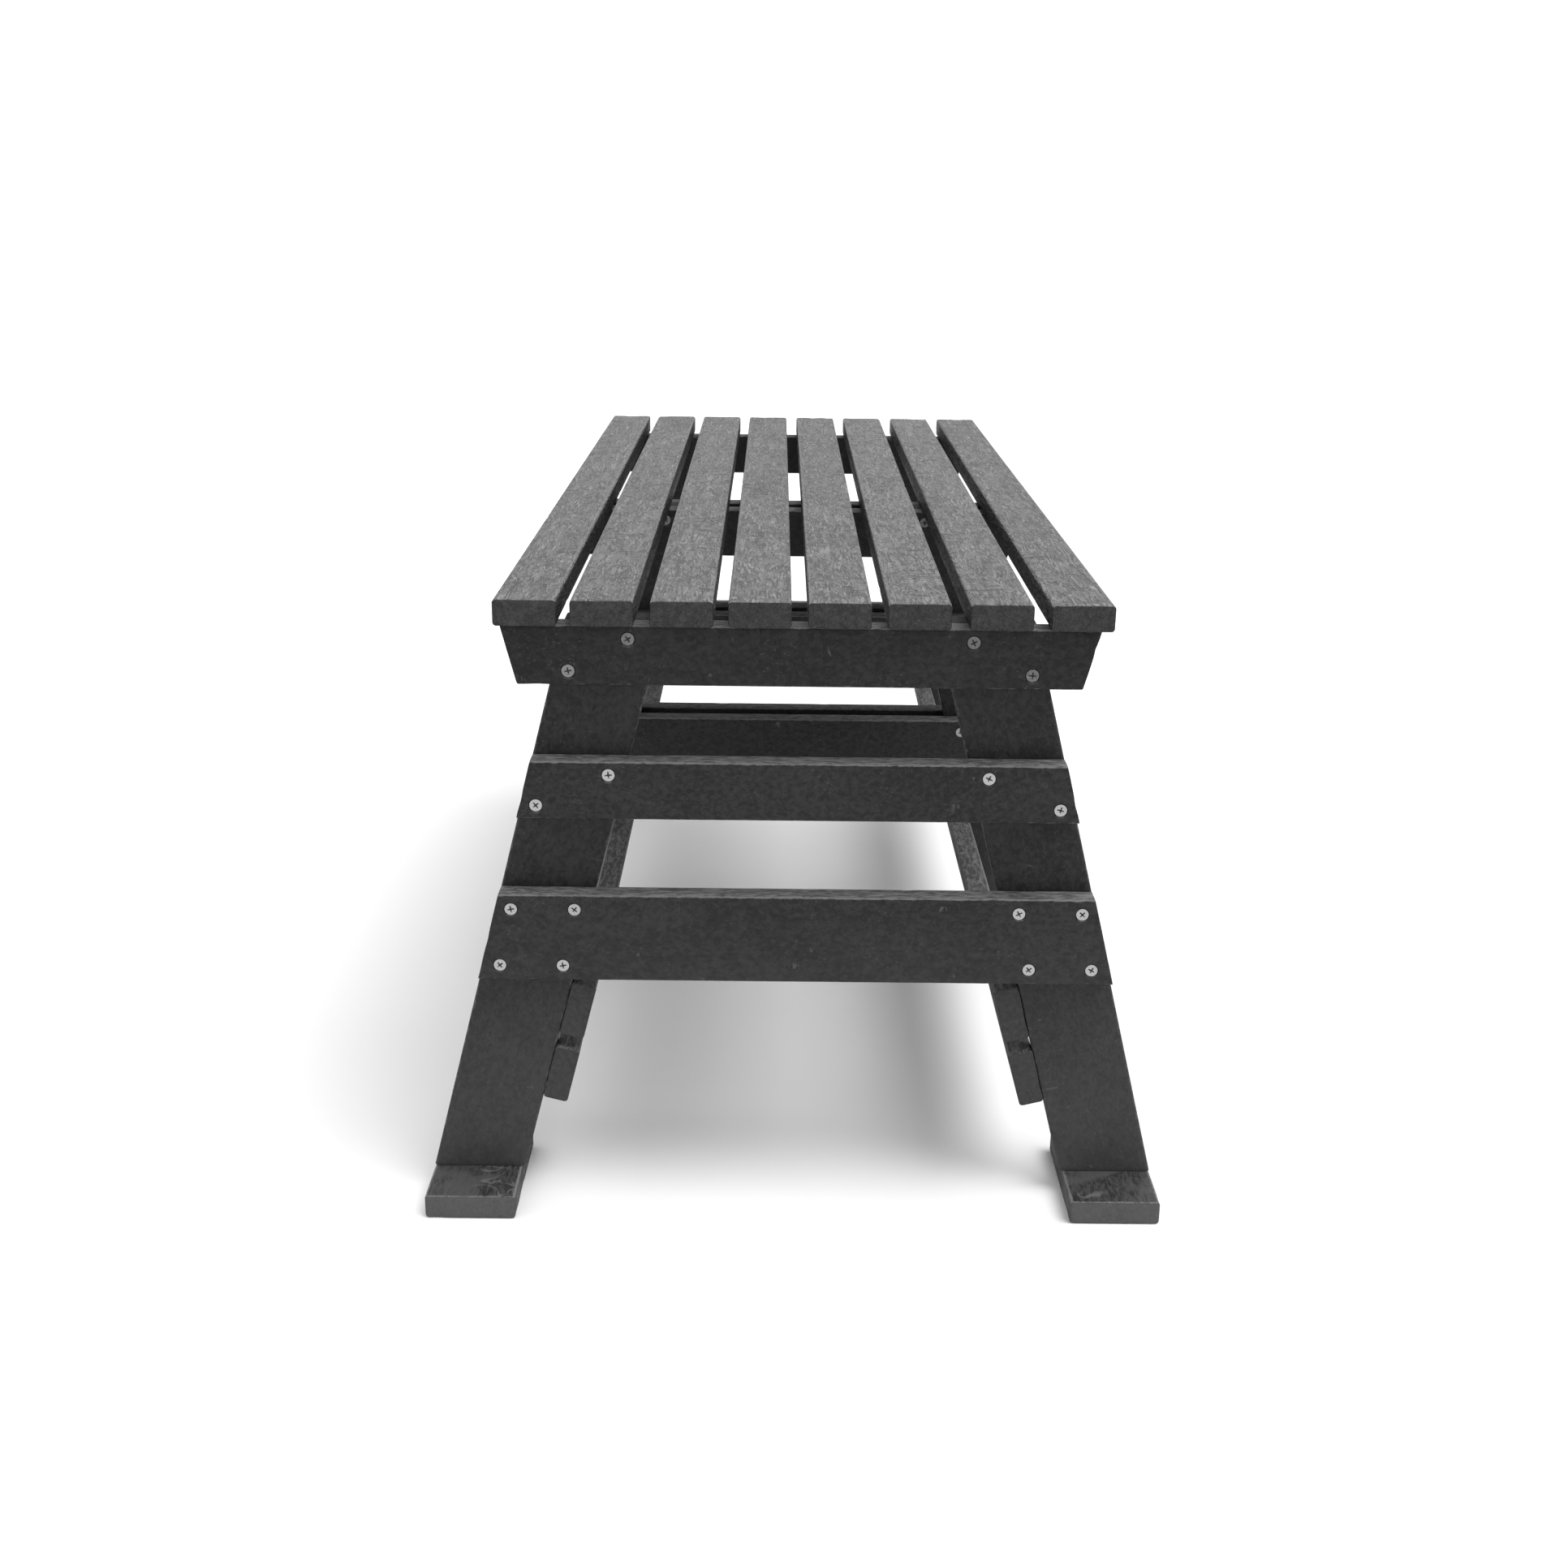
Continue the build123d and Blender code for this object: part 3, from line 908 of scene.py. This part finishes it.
@dataclass
class Board:
    """One moulded board. Its own frame has X along it, Y across its width and Z through it.

    lean is how far each end's cut leans: the change of X for each unit of Y, at the low and high end.
    drift is how far the board lies off its true line, toward -Y in mm, at its low end, middle and high end.
    chip_reach and chip_depth are the least and the most, in mm. waves and pits are in cells per metre.
    """

    node: str
    place: Matrix
    length: float
    width: float
    thickness: float
    finish: MouldedPlastic
    lean: Tuple[float, float] = (0.0, 0.0)
    arris: float = 2.5 * MM
    sawn: float = 0.7 * MM
    step: float = 4.0 * MM
    ripple: float = 0.20 * MM
    drift: Tuple[float, float, float] = (0.0, 0.0, 0.0)
    chips: int = 5
    chip_reach: Tuple[float, float] = (2.5, 7.0)
    chip_depth: Tuple[float, float] = (0.3, 0.9)
    # end faces lightened: dust, with painted floor light on the feet's fronts
    dust_and_floor_light: float = 0.0
    hole_segments: int = 48
    waves: float = 38.0
    pits: float = 120.0

    def section(self) -> np.ndarray:
        """The rounded cross-section, as (y, z) pairs in order round it."""
        half_y, half_z, r = self.width / 2, self.thickness / 2, self.arris
        corners = ((1, 1, 0), (-1, 1, 90), (-1, -1, 180), (1, -1, 270))
        pairs: List[Corner] = []
        for number, (sy, sz, start) in enumerate(corners):
            for turn in range(5):
                angle = math.radians(start + turn * 22.5)
                y, z = r * math.cos(angle), r * math.sin(angle)
                pairs.append((sy * (half_y - r) + y, sz * (half_z - r) + z))
            span = 2 * (half_y - r) if number % 2 == 0 else 2 * (half_z - r)
            steps = max(2, round(span / self.step))
            y0, z0 = pairs[-1]
            dy, dz = ((-1, 0), (0, -1), (1, 0), (0, 1))[number]
            pairs += [(y0 + dy * span * k / steps, z0 + dz * span * k / steps) for k in range(1, steps)]
        return np.array(pairs)

    def rings(self) -> Iterator[Tuple[float, float, float]]:
        """Each ring of the shell: place along the board from 0 to 1, inset, and drop from the end."""
        steps = 5
        for k in range(steps, 0, -1):
            yield 0.0, self.sawn + (self.thickness / 2 - self.sawn) * k / steps, 0.0
        turns = [math.radians(angle) for angle in (90, 60, 30, 0)]
        for turn in turns:
            yield 0.0, self.sawn * (1 - math.cos(turn)), self.sawn * (1 - math.sin(turn))
        count = max(4, round(self.length / self.step))
        for k in range(1, count):
            yield k / count, 0.0, 0.0
        for turn in reversed(turns):
            yield 1.0, self.sawn * (1 - math.cos(turn)), self.sawn * (1 - math.sin(turn))
        for k in range(1, steps + 1):
            yield 1.0, self.sawn + (self.thickness / 2 - self.sawn) * k / steps, 0.0

    def shell(self) -> bpy.types.Mesh:
        """The plain board as a closed shell of small faces, in its own frame."""
        section = self.section()
        half = np.array((self.width / 2, self.thickness / 2))
        points: Rows = []
        for share, inset, drop in self.rings():
            pairs = section * (half - inset) / half
            low = -self.length / 2 + self.lean[0] * pairs[:, 0]
            high = self.length / 2 + self.lean[1] * pairs[:, 0]
            x = low + (high - low) * share
            if share == 0.0:
                x = x + drop
            if share == 1.0:
                x = x - drop
            points.append(np.column_stack((x, pairs)))
        return to_mesh(self.node, np.vstack(points), between_rings(len(points), len(section)))

    def weather(self, mesh: bpy.types.Mesh, rng: np.random.Generator) -> None:
        """Give the shell the moulding's slight waves and chipped arrises, and bend it sideways.

        Args:
            mesh: the shell, changed in place.
            rng: the source of chance.
        """
        points = read(mesh)
        normals = read(mesh, "normal")
        shift = Vector(rng.uniform(-50, 50, 3))
        spots = [Vector(point) for point in points]
        broad = np.array([noise.noise(spot * self.waves + shift) for spot in spots])
        fine = np.array([noise.noise(spot * self.pits + shift) for spot in spots])
        wave = broad * 0.65 + fine * 0.35
        moved = points + normals * ((wave * 0.5 - 0.5) * self.ripple)[:, None]
        near_end = np.clip(1.2 - self.end_distance(points) / (2 * MM), 0, 1)
        rounded = np.maximum(self.corner_share(points), near_end)
        for _ in range(self.chips):
            spot = self.chip_spot(rng)
            reach = rng.uniform(*self.chip_reach) * MM
            near = np.exp(-((points - spot) ** 2).sum(1) / reach**2)
            moved -= normals * (near * rounded * rng.uniform(*self.chip_depth) * MM)[:, None]
        along = points[:, 0] / self.length
        moved[:, 1] -= np.interp(along, (-0.5, 0.0, 0.5), self.drift) * MM
        mesh.vertices.foreach_set("co", moved.ravel())
        mesh.update()

    def chip_spot(self, rng: np.random.Generator) -> np.ndarray:
        """A chance place on a long arris or, for two chips in five, on an end's arris.

        Args:
            rng: the source of chance.

        Returns:
            The place, in the board's own frame.
        """
        x, y = rng.uniform(-0.5, 0.5), rng.choice((-0.5, 0.5))
        if rng.uniform() < 0.4:
            x, y = y, x
        return np.array((x * self.length, y * self.width, rng.choice((-0.5, 0.5)) * self.thickness))

    def corner_share(self, points: np.ndarray) -> np.ndarray:
        """How near each point is to a long arris: 1 on it, 0 a little way in."""
        from_y = np.abs(self.width / 2 - np.abs(points[:, 1]))
        from_z = np.abs(self.thickness / 2 - np.abs(points[:, 2]))
        away = np.maximum(from_y, from_z)
        return np.clip(1.35 - away / (self.arris * 1.15), 0, 1)

    def end_distance(self, points: np.ndarray) -> np.ndarray:
        """How far each point is from the nearer sawn end."""
        low = points[:, 0] + self.length / 2 - self.lean[0] * points[:, 1]
        high = self.length / 2 + self.lean[1] * points[:, 1] - points[:, 0]
        return np.minimum(low, high)

    def sinks(self, groups: Sequence[ScrewGroup]) -> Optional[bpy.types.Mesh]:
        """The holes that the screws' heads and shanks need, as one cutter in the board's frame.

        Args:
            groups: the screws that may pass through the board.

        Returns:
            The cutter, or None where no head lies in this board.
        """
        inward = self.place.inverted()
        points: Rows = []
        faces: List[List[int]] = []
        for group in groups:
            profile = sink_profile(group.kind, max(self.width, self.thickness))
            for spot, outward in group.heads:
                local = inward @ spot
                if not self.holds(local):
                    continue
                lay = upright(inward.to_3x3() @ outward)
                ring, polygons = lathe(profile, self.hole_segments)
                offset = sum(len(block) for block in points)
                points.append(ring @ np.array(lay).T + np.array(local))
                faces += [[i + offset for i in face] for face in polygons]
        if not points:
            return None
        return to_mesh("sinks", np.vstack(points), faces)

    def holds(self, local: Vector) -> bool:
        """Whether a point of the board's own frame is inside the board."""
        slack = 0.1 * MM
        return (abs(local.x) < self.length / 2 + abs(self.lean[0]) * self.width
                and abs(local.y) < self.width / 2 - slack and abs(local.z) < self.thickness / 2 - slack)

    def mark(self, mesh: bpy.types.Mesh, rng: np.random.Generator) -> None:
        """Store what the finish reads: grain, arris, cut, sky, dust with painted floor light, and tone.

        Args:
            mesh: the board in its own frame.
            rng: the source of chance.
        """
        points = read(mesh)
        normals = read(mesh, "normal")
        turn = np.array(self.place.to_3x3())
        world = points @ turn.T + np.array(self.place.translation)
        up = (normals @ turn.T)[:, 2]
        end = self.end_distance(points)
        facing = np.abs(normals[:, 0])
        sawn_arris = np.clip(1.4 - end / (self.sawn * 1.6), 0, 1) * (facing < 0.9)
        store(mesh, "grain", points + rng.uniform(0, 3, 3))
        store(mesh, "arris", np.maximum(self.corner_share(points) * (facing < 0.7), sawn_arris * 0.8))
        store(mesh, "cut", np.clip(facing * 3 - 1.8, 0, 1))
        store(mesh, "sky", np.clip(up, 0, 1))
        # upright faces lighter towards the floor and the feet's ends lighter: dust, with painted floor light
        # and the seat's shade painted above
        low = np.clip(1 - world[:, 2] / DUST_AND_FLOOR_LIGHT_HEIGHT, 0, 1)
        store(mesh, "dust_and_floor_light", np.clip(low * 0.50 * (1 - np.clip(up, 0, 1)) + self.dust_and_floor_light * facing, 0, 1))
        store(mesh, "tone", np.full(len(points), rng.uniform(0, 1)))

    def build(
        self, finishes: Finishes, groups: Sequence[ScrewGroup], rng: np.random.Generator
    ) -> bpy.types.Object:
        """Make the board's piece.

        Args:
            finishes: the materials made so far.
            groups: the screws that may pass through it.
            rng: the source of chance.

        Returns:
            The piece.
        """
        mesh = self.shell()
        self.weather(mesh, rng)
        cutter = self.sinks(groups)
        if cutter is not None:
            mesh = carve(mesh, cutter)
        self.mark(mesh, rng)
        mesh.transform(self.place)
        mesh.shade_smooth()
        mesh.set_sharp_from_angle(angle=BOARD_CREASE)
        return show(self.node + "_board", mesh, self.finish, finishes, self.node)


def sink_profile(kind: Screw, depth: float) -> List[Corner]:
    """Half outline of the hole for one screw, measured from its head's top or seat.

    Args:
        kind: the kind of screw.
        depth: how deep the hole goes.

    Returns:
        (radius, z) pairs from the mouth down.
    """
    bore = 2.75 * MM
    if kind is Screw.PAN:
        mouth = 6.0 * MM
        return [(0, depth), (mouth, depth), (mouth, 0.0), (bore, 0.0), (bore, -2 * depth), (0, -2 * depth)]
    rise = 1.6 * MM
    head = kind.head_radius + 0.5 * MM
    groove = -1.2 * MM
    return [(0, rise), (head + 0.1 * MM, rise), (head, 0.0), (head, groove), (bore, groove + bore - head),
            (bore, -2 * depth), (0, -2 * depth)]


# ---------------------------------------------------------------- sub-assemblies


@dataclass
class Layout:
    """What the bench's parts share, read from the CAD boxes."""

    board: float = 0.0
    narrow: float = 0.0
    wide: float = 0.0
    lean: float = 0.0

    def measure(self) -> "Layout":
        """Read the board sizes and the legs' lean.

        Returns:
            The layout itself.
        """
        low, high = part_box("seat_slat_1")
        self.board, self.narrow = high.z - low.z, high.x - low.x
        low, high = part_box("front_left_foot")
        self.wide = high.x - low.x
        low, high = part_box("front_left_leg")
        across, height = high.x - low.x, high.z - low.z
        self.lean = math.acos(self.wide / math.hypot(across, height)) - math.atan2(height, across)
        return self


@dataclass
class Seat:
    """The lengthwise slats.

    laid is how far each slat lies to the right of its true place, in mm, at its front, middle and rear.
    """

    layout: Layout
    finish: BleachedPlastic = BleachedPlastic()
    laid: Sequence[Tuple[float, float, float]] = (
        (2.3, 2.4, 2.6), (0.3, -0.2, 0.9), (0.2, -0.5, -0.3), (-1.0, -0.8, -0.9),
        (-0.9, -0.5, -0.5), (-1.0, -0.7, -0.3), (0.5, 1.0, 0.6), (1.4, 1.2, 1.0),
    )

    def boards(self) -> Iterator[Board]:
        """Each slat, from left to right."""
        for number in range(1, len(self.laid) + 1):
            node = f"seat_slat_{number}"
            low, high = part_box(node)
            place = axes(Vector((0, 1, 0)), Vector((-1, 0, 0)), (low + high) / 2)
            yield Board(node, place, high.y - low.y, self.layout.narrow, self.layout.board, self.finish,
                        drift=self.laid[number - 1], chips=9, step=3.6 * MM)


@dataclass
class Trestle:
    """Two splayed legs with their feet and the rails across them."""

    name: str
    rails: Sequence[str]
    layout: Layout
    finish: MouldedPlastic = MouldedPlastic()
    # darker copy of the plastic for the top beams: painted shade from the seat above
    shaded_beam_finish: MouldedPlastic = MouldedPlastic("beam_plastic_painted_shade", body=0.0142)
    foot_finish: ScuffedPlastic = ScuffedPlastic()

    def legs(self) -> Iterator[Board]:
        """The left and the right leg."""
        for side, sign in (("left", -1), ("right", 1)):
            node = f"{self.name}_{side}_leg"
            low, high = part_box(node)
            lean = self.layout.lean
            down = Vector((sign * math.sin(lean), 0, -math.cos(lean)))
            place = axes(down, Vector((sign * math.cos(lean), 0, math.sin(lean))), (low + high) / 2)
            length = (high.z - low.z) / math.cos(lean)
            slant = math.tan(lean)
            yield Board(node, place, length, self.layout.wide, self.layout.board, self.finish, (slant, slant),
                        ripple=SNUG)

    def feet(self) -> Iterator[Board]:
        """The blocks under the legs."""
        for side in ("left", "right"):
            node = f"{self.name}_{side}_foot"
            low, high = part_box(node)
            place = axes(Vector((0, 1, 0)), Vector((-1, 0, 0)), (low + high) / 2)
            # the feet's ends painted lighter: dust, with painted light from the floor
            yield Board(node, place, high.y - low.y, self.layout.wide, self.layout.board, self.foot_finish,
                        sawn=1.6 * MM, step=3.0 * MM, chips=7, dust_and_floor_light=0.62)

    def crosspieces(self) -> Iterator[Board]:
        """Its top beams, mid rails and lower rails."""
        slant = math.tan(self.layout.lean)
        for kind, lean in (("top_beam", slant), ("mid_rail", -slant), ("lower_rail", -slant)):
            for rail in self.rails:
                node = f"{rail}_{kind}"
                low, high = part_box(node)
                width = high.z - low.z
                place = axes(Vector((1, 0, 0)), Vector((0, 0, 1)), (low + high) / 2)
                length = high.x - low.x - slant * width
                finish = self.shaded_beam_finish if kind == "top_beam" else self.finish
                yield Board(node, place, length, width, self.layout.board, finish, (-lean, lean), chips=8)

    def boards(self) -> Iterator[Board]:
        """Every board of the trestle."""
        yield from self.legs()
        yield from self.feet()
        yield from self.crosspieces()


@dataclass
class SideBoards:
    """The long boards against the inner edges of the legs."""

    layout: Layout
    finish: MouldedPlastic = MouldedPlastic()

    def boards(self) -> Iterator[Board]:
        """The upper and lower board on each side."""
        lean = self.layout.lean
        for side, sign in (("left", -1), ("right", 1)):
            for level in ("upper", "lower"):
                node = f"{side}_{level}_side_board"
                low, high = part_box(node)
                across = Vector((-sign * math.sin(lean), 0, math.cos(lean)))
                place = axes(Vector((0, 1, 0)), across, (low + high) / 2)
                yield Board(node, place, high.y - low.y, self.layout.narrow, self.layout.board, self.finish,
                            ripple=SNUG)


@dataclass
class Fastenings:
    """Every group of screws."""

    layout: Layout
    shape: ScrewShape = ScrewShape()
    finish: StainlessSteel = StainlessSteel()

    def groups(self) -> List[ScrewGroup]:
        """The groups, with their heads found."""
        ends = (Vector((0, -1, 0)), Vector((0, 1, 0)))
        below = (Vector((0, 0, -1)),)
        lean = self.layout.lean
        inward = tuple(Vector((sign * math.cos(lean), 0, -math.sin(lean))) for sign in (-1, 1))
        made = [
            # the top beam screws are darkened most: painted shade from the seat above, with some dirt
            ScrewGroup("top_beam_screws", Screw.SUNK_SHORT, ends, self.shape, dullness_and_shade=0.62),
            ScrewGroup("mid_rail_screws", Screw.SUNK_SHORT, ends, self.shape, dullness_and_shade=0.18),
            ScrewGroup("lower_rail_screws", Screw.SUNK_SHORT, ends, self.shape, dullness_and_shade=0.14),
            ScrewGroup("seat_screws", Screw.PAN, below, self.shape, dullness_and_shade=0.35),
            ScrewGroup("side_board_screws", Screw.SUNK_LONG, inward, self.shape, dullness_and_shade=0.35),
            ScrewGroup("foot_screws", Screw.SUNK_LONG, below, self.shape, dullness_and_shade=0.5),
        ]
        for group in made:
            group.find()
        return made


# ---------------------------------------------------------------- studio


@dataclass(frozen=True)
class SoftSun:
    """A distant lamp wide enough for soft shadows."""

    name: str
    direction: Tuple[float, float, float]
    spread: float
    power: float

    def light(self) -> None:
        """Hang the lamp, aimed at the bench."""
        lamp = bpy.data.lights.new(self.name, "SUN")
        lamp.angle = math.radians(self.spread)
        lamp.energy = self.power
        holder = bpy.data.objects.new(self.name, lamp)
        holder.location = self.direction
        holder.rotation_euler = Vector(self.direction).to_track_quat("Z", "Y").to_euler()
        bpy.context.scene.collection.objects.link(holder)


@dataclass
class Studio:
    """Floor, light and camera."""

    floor: PaleFloor = PaleFloor()
    floor_reach: float = 14.0
    floor_drop: float = 0.2 * MM
    sky: float = 0.96
    horizon: float = 1.10
    fade: Tuple[float, float] = (0.09, 0.20)
    suns: Sequence[SoftSun] = (SoftSun("key", (0.44, -0.23, 1.0), 38.0, 2.1),)
    eye: Tuple[float, float, float] = (-0.0190, -1.7575, 0.7672)
    yaw: float = 0.377
    pitch: float = -18.471
    roll: float = 0.713
    lens: float = 42.42
    sensor: float = 36.0

    def lay_floor(self, finishes: Finishes) -> None:
        """Lay the floor under the bench.

        Args:
            finishes: the materials made so far.
        """
        shape = bmesh.new()
        bmesh.ops.create_circle(shape, cap_ends=True, radius=self.floor_reach, segments=96)
        mesh = bpy.data.meshes.new("studio_floor")
        shape.to_mesh(mesh)
        shape.free()
        mesh.materials.append(finishes.get(self.floor))
        floor = bpy.data.objects.new("studio_floor", mesh)
        floor.location.z = -self.floor_drop
        bpy.context.scene.collection.objects.link(floor)
        floor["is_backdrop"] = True

    def light_up(self) -> None:
        """Even light from above, a white horizon behind the floor's edge, and the lamps."""
        world = bpy.data.worlds.new("studio")
        world.use_nodes = True
        tree = world.node_tree
        backdrop = tree.nodes["Background"]
        backdrop.inputs["Color"].default_value = (1.0, 1.0, 1.0, 1.0)
        toward = tree.nodes.new("ShaderNodeTexCoord")
        split = tree.nodes.new("ShaderNodeSeparateXYZ")
        fade = tree.nodes.new("ShaderNodeMapRange")
        low, high = self.fade
        ends = {"From Min": low, "From Max": high, "To Min": self.horizon, "To Max": self.sky}
        for key, value in ends.items():
            fade.inputs[key].default_value = value
        tree.links.new(toward.outputs["Generated"], split.inputs[0])
        tree.links.new(split.outputs["Z"], fade.inputs["Value"])
        tree.links.new(fade.outputs[0], backdrop.inputs["Strength"])
        bpy.context.scene.world = world
        for sun in self.suns:
            sun.light()

    def place_camera(self) -> None:
        """Stand the camera at the end of the bench, a little above the seat."""
        lens = bpy.data.cameras.new("camera")
        lens.sensor_width = self.sensor
        lens.lens = self.lens
        camera = bpy.data.objects.new("camera", lens)
        bpy.context.scene.collection.objects.link(camera)
        yaw, pitch, roll = (math.radians(angle) for angle in (self.yaw, self.pitch, self.roll))
        turn = Matrix.Rotation(-yaw, 4, "Z") @ Matrix.Rotation(math.pi / 2 + pitch, 4, "X")
        camera.matrix_world = Matrix.Translation(self.eye) @ turn @ Matrix.Rotation(roll, 4, "Z")
        bpy.context.scene.camera = camera

    def build(self, finishes: Finishes) -> None:
        """Set up the whole studio.

        Args:
            finishes: the materials made so far.
        """
        self.lay_floor(finishes)
        self.light_up()
        self.place_camera()
        bpy.context.scene.view_settings.view_transform = "Standard"


def main() -> None:
    """Build the bench's pieces in order, then the studio."""
    logging.basicConfig(level=logging.INFO, format="%(name)s: %(message)s")
    rng = np.random.default_rng(SEED)
    finishes = Finishes()
    layout = Layout().measure()
    fastenings = Fastenings(layout)
    groups = fastenings.groups()
    for group in groups:
        group.build(finishes, fastenings.finish, rng)
    trestles = [
        Trestle("front", ("front",), layout),
        Trestle("middle", ("middle_front", "middle_rear"), layout),
        Trestle("rear", ("rear",), layout),
    ]
    for assembly in (Seat(layout), *trestles, SideBoards(layout)):
        for board in assembly.boards():
            board.build(finishes, groups, rng)
    Studio().build(finishes)
    both = {"cad": cad_bounds, "visual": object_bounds()}
    {key: [list(corner) for corner in box] for key, box in both.items()}


if __name__ == "__main__":
    main()
